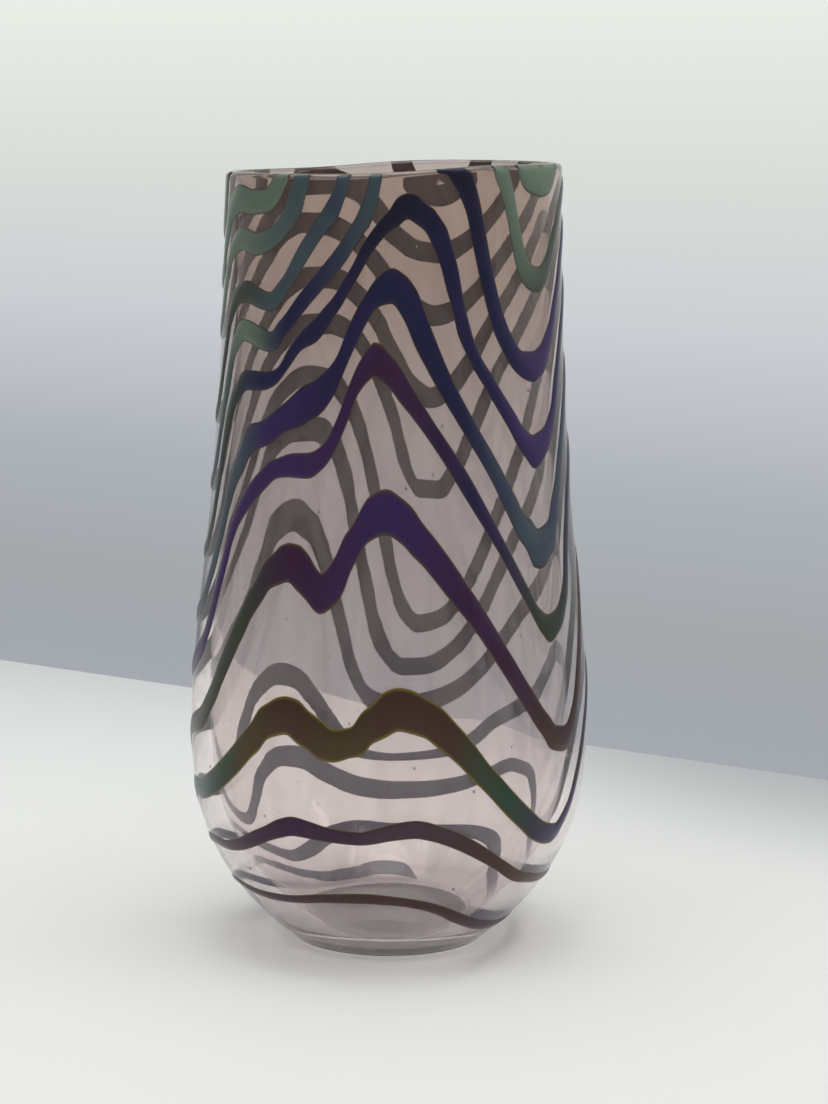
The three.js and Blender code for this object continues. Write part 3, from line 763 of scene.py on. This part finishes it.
def lustre_group():
    """The lustre film: its tone drifts along the thread and turns warmer at the edges."""
    if "lustre_film" in bpy.data.node_groups:
        return bpy.data.node_groups["lustre_film"]
    group = bpy.data.node_groups.new("lustre_film", "ShaderNodeTree")
    group.interface.new_socket("Flash", in_out="INPUT", socket_type="NodeSocketColor")
    group.interface.new_socket("Edge Tone", in_out="INPUT", socket_type="NodeSocketColor")
    group.interface.new_socket("Color", in_out="OUTPUT", socket_type="NodeSocketColor")
    group.interface.new_socket("Roughness", in_out="OUTPUT", socket_type="NodeSocketFloat")
    group.interface.new_socket("Height", in_out="OUTPUT", socket_type="NodeSocketFloat")
    nodes, links = group.nodes, group.links
    entry = nodes.new("NodeGroupInput")
    leave = nodes.new("NodeGroupOutput")
    glaze = nodes.new("ShaderNodeAttribute")
    glaze.attribute_name = "glaze"
    across = nodes.new("ShaderNodeAttribute")
    across.attribute_name = "across"
    share = nodes.new("ShaderNodeMapRange")
    share.inputs["From Min"].default_value = 0.45
    share.inputs["From Max"].default_value = 0.75
    share.inputs["To Max"].default_value = 0.55
    links.new(soft_noise(nodes, links, 55.0, 3.0), share.inputs["Value"])
    flash = nodes.new("ShaderNodeMix")
    flash.data_type = "RGBA"
    links.new(share.outputs["Result"], flash.inputs["Factor"])
    links.new(glaze.outputs["Color"], flash.inputs[6])
    links.new(entry.outputs["Flash"], flash.inputs[7])
    edge_share = nodes.new("ShaderNodeMapRange")
    edge_share.interpolation_type = "SMOOTHSTEP"
    edge_share.inputs["From Min"].default_value = 0.78
    edge_share.inputs["From Max"].default_value = 1.0
    links.new(across.outputs["Fac"], edge_share.inputs["Value"])
    edge = nodes.new("ShaderNodeMix")
    edge.data_type = "RGBA"
    links.new(edge_share.outputs["Result"], edge.inputs["Factor"])
    links.new(flash.outputs[2], edge.inputs[6])
    links.new(entry.outputs["Edge Tone"], edge.inputs[7])
    silk = soft_noise(nodes, links, 420.0, 3.0)
    rough = nodes.new("ShaderNodeMapRange")
    rough.inputs["To Min"].default_value = 0.22
    rough.inputs["To Max"].default_value = 0.42
    links.new(silk, rough.inputs["Value"])
    links.new(edge.outputs[2], leave.inputs["Color"])
    links.new(rough.outputs["Result"], leave.inputs["Roughness"])
    links.new(silk, leave.inputs["Height"])
    return group


FLASHES = {
    "lustre_navy": (0.030, 0.022, 0.080),
    "lustre_purple": (0.060, 0.025, 0.075),
    "lustre_gold": (0.060, 0.036, 0.022),
    "lustre_brown": (0.075, 0.040, 0.060),
    "lustre_green": (0.100, 0.130, 0.120),
}
EDGES = {
    "lustre_navy": (0.045, 0.028, 0.022),
    "lustre_purple": (0.100, 0.055, 0.020),
    "lustre_gold": (0.190, 0.140, 0.016),
    "lustre_brown": (0.110, 0.080, 0.022),
    "lustre_green": (0.055, 0.055, 0.030),
}


def lustre_glass(slot):
    name = f"{slot}_film"
    if name in bpy.data.materials:
        return bpy.data.materials[name]
    material, nodes, links, output = new_material(name)
    film = nodes.new("ShaderNodeGroup")
    film.node_tree = lustre_group()
    film.inputs["Flash"].default_value = (*FLASHES[slot], 1)
    film.inputs["Edge Tone"].default_value = (*EDGES[slot], 1)
    glass = nodes.new("ShaderNodeBsdfPrincipled")
    glass.inputs["Metallic"].default_value = 0.35
    glass.inputs["IOR"].default_value = 1.45
    glass.inputs["Specular IOR Level"].default_value = 0.35
    links.new(film.outputs["Color"], glass.inputs["Base Color"])
    links.new(film.outputs["Roughness"], glass.inputs["Roughness"])
    links.new(bumped(nodes, links, film.outputs["Height"], 0.08, 0.0002), glass.inputs["Normal"])
    links.new(glass.outputs["BSDF"], output.inputs["Surface"])
    return material


ROOT_TINT = [
    (0.000, (0.110, 0.100, 0.160)),
    (0.050, (0.125, 0.105, 0.150)),
    (0.110, (0.115, 0.080, 0.082)),
    (0.180, (0.095, 0.056, 0.046)),
    (0.250, (0.130, 0.064, 0.044)),
]


def thread_root_glass():
    """The underside of a thread, seen through the clear wall: mauve low down, brown on top."""
    if "thread_root" in bpy.data.materials:
        return bpy.data.materials["thread_root"]
    material, nodes, links, output = new_material("thread_root")
    cloud = soft_noise(nodes, links, 70.0, 3.0)
    tone = between_tones(nodes, links, cloud, (0.3, (0.60, 0.60, 0.62)), (0.7, (1.0, 1.0, 1.0)))
    color = multiplied_colors(nodes, links, tone, color_by_height(nodes, links, ROOT_TINT))
    glass = nodes.new("ShaderNodeBsdfPrincipled")
    glass.inputs["Roughness"].default_value = 0.6
    glass.inputs["Specular IOR Level"].default_value = 0.1
    links.new(color, glass.inputs["Base Color"])
    links.new(glass.outputs["BSDF"], output.inputs["Surface"])
    return material


# ---- the studio ----------------------------------------------------------------------------
FOLD_LEFT = Vector((-0.19, 0.447, 0))
FOLD_RIGHT = Vector((0.178, 0.215, 0))
FOLD_ALONG = (FOLD_RIGHT - FOLD_LEFT).normalized()
FOLD_AWAY = Vector((-FOLD_ALONG.y, FOLD_ALONG.x, 0))
FLOOR_SIZE = 16.0
WALL_HEIGHT = 1.6
WALL_LENGTH = 4.0
# Painted shade: the floor is darkened near the wall's fold on the right.
FOLD_SHADE_DEPTH = 0.16  # how far from the fold the painted shade on the floor reaches, on the right
FOLD_SHADE_SIDE = (-0.05, 0.16)  # from left to right, where the painted shade comes in
FOLD_SHADE_SHARE = 0.36


def floor_material():
    material, nodes, links, output = new_material("studio_floor")
    place = nodes.new("ShaderNodeTexCoord")
    cloud = soft_noise(nodes, links, 5.0, 2.0)
    tone = between_tones(nodes, links, cloud, (0.0, (0.80, 0.80, 0.79)), (1.0, (0.84, 0.84, 0.83)))
    far = nodes.new("ShaderNodeVectorMath")
    far.operation = "DOT_PRODUCT"
    far.inputs[1].default_value = FOLD_AWAY
    links.new(place.outputs["Object"], far.inputs[0])
    near_fold = nodes.new("ShaderNodeMapRange")
    near_fold.interpolation_type = "SMOOTHSTEP"
    fold_distance = FOLD_LEFT.dot(FOLD_AWAY)
    near_fold.inputs["From Min"].default_value = fold_distance - FOLD_SHADE_DEPTH
    near_fold.inputs["From Max"].default_value = fold_distance
    links.new(far.outputs["Value"], near_fold.inputs["Value"])
    axes = nodes.new("ShaderNodeSeparateXYZ")
    links.new(place.outputs["Object"], axes.inputs["Vector"])
    on_right = nodes.new("ShaderNodeMapRange")
    on_right.interpolation_type = "SMOOTHSTEP"
    on_right.inputs["From Min"].default_value = FOLD_SHADE_SIDE[0]
    on_right.inputs["From Max"].default_value = FOLD_SHADE_SIDE[1]
    on_right.inputs["To Max"].default_value = FOLD_SHADE_SHARE
    links.new(axes.outputs["X"], on_right.inputs["Value"])
    # Painted shade near the fold on the right, mixed into the floor's colour.
    fold_shade = nodes.new("ShaderNodeMath")
    fold_shade.operation = "MULTIPLY"
    links.new(near_fold.outputs["Result"], fold_shade.inputs[0])
    links.new(on_right.outputs["Result"], fold_shade.inputs[1])
    shade = nodes.new("ShaderNodeMix")
    shade.data_type = "RGBA"
    shade.inputs[7].default_value = (0.14, 0.15, 0.17, 1)
    links.new(fold_shade.outputs[0], shade.inputs["Factor"])
    links.new(tone, shade.inputs[6])
    paper = nodes.new("ShaderNodeBsdfPrincipled")
    paper.inputs["Roughness"].default_value = 0.7
    paper.inputs["Specular IOR Level"].default_value = 0.2
    links.new(shade.outputs[2], paper.inputs["Base Color"])
    links.new(paper.outputs["BSDF"], output.inputs["Surface"])
    return material


# Painted light: the wall's glow by height in metres, with painted shade low down.
WALL_GLOW_AND_SHADE = [
    (0.000, (0.37, 0.40, 0.43)),
    (0.050, (0.37, 0.39, 0.41)),
    (0.110, (0.42, 0.45, 0.48)),
    (0.180, (0.60, 0.62, 0.65)),
    (0.250, (0.71, 0.74, 0.70)),
    (0.330, (0.84, 0.88, 0.82)),
    (0.500, (0.95, 0.97, 0.93)),
]


def wall_material():
    """A paper wall that glows with painted light, with painted shade that makes it blue-grey low down; pale
    at the top. It is clear from behind.
    """
    material, nodes, links, output = new_material("studio_wall")
    glow = nodes.new("ShaderNodeEmission")
    links.new(color_by_height(nodes, links, WALL_GLOW_AND_SHADE), glow.inputs["Color"])
    clear = nodes.new("ShaderNodeBsdfTransparent")
    side = nodes.new("ShaderNodeNewGeometry")
    choose = nodes.new("ShaderNodeMixShader")
    links.new(side.outputs["Backfacing"], choose.inputs["Fac"])
    links.new(glow.outputs["Emission"], choose.inputs[1])
    links.new(clear.outputs["BSDF"], choose.inputs[2])
    links.new(choose.outputs["Shader"], output.inputs["Surface"])
    return material


def make_floor():
    half = FLOOR_SIZE / 2
    mesh = bpy.data.meshes.new("studio_floor")
    corners = [(-half, -half, 0), (half, -half, 0), (half, half, 0), (-half, half, 0)]
    mesh.from_pydata(corners, [], [(0, 1, 2, 3)])
    mesh.materials.append(floor_material())
    add_object("studio_floor", mesh)


def make_wall():
    middle = (FOLD_RIGHT + FOLD_LEFT) / 2
    left = middle - FOLD_ALONG * WALL_LENGTH / 2
    right = middle + FOLD_ALONG * WALL_LENGTH / 2
    up = Vector((0, 0, WALL_HEIGHT))
    mesh = bpy.data.meshes.new("studio_wall")
    mesh.from_pydata([left, right, right + up, left + up], [], [(0, 1, 2, 3)])
    mesh.materials.append(wall_material())
    add_object("studio_wall", mesh)


def add_softbox(name, place, aim, size, power, color):
    lamp = bpy.data.lights.new(name, "AREA")
    lamp.shape = "RECTANGLE"
    lamp.size, lamp.size_y = size
    lamp.energy = power
    lamp.color = color
    box = bpy.data.objects.new(name, lamp)
    box.location = place
    box.rotation_euler = (Vector(aim) - Vector(place)).to_track_quat("-Z", "Y").to_euler()
    scene.collection.objects.link(box)


def make_world():
    world = bpy.data.worlds.new("studio_air")
    world.use_nodes = True
    nodes = world.node_tree.nodes
    nodes["Background"].inputs["Color"].default_value = (0.93, 0.96, 1.0, 1)
    nodes["Background"].inputs["Strength"].default_value = 0.42
    scene.world = world


def set_looks():
    scene.view_settings.view_transform = "Standard"
    scene.cycles.max_bounces = 24
    scene.cycles.transmission_bounces = 20
    scene.cycles.transparent_max_bounces = 24
    scene.cycles.glossy_bounces = 8
    scene.cycles.diffuse_bounces = 4


# ---- assembly ------------------------------------------------------------------------------
make_floor()
make_wall()
make_world()
add_softbox("top_light", (0.0, -0.05, 1.15), (0, 0, 0.1), (1.1, 0.9), 9.0, (1.0, 1.0, 0.97))
add_softbox("side_light", (1.0, -0.1, 0.75), (0, 0, 0.08), (0.5, 0.6), 4.0, (0.98, 0.99, 1.0))
set_looks()

make_body()
slots = {part["node"]: part["material_slot"] for part in frame["record"]["subparts"]}
for thread_node, thread_glazes in GLAZES.items():
    make_thread(thread_node, slots[thread_node], thread_glazes, thread_node == "trail_turn_1")
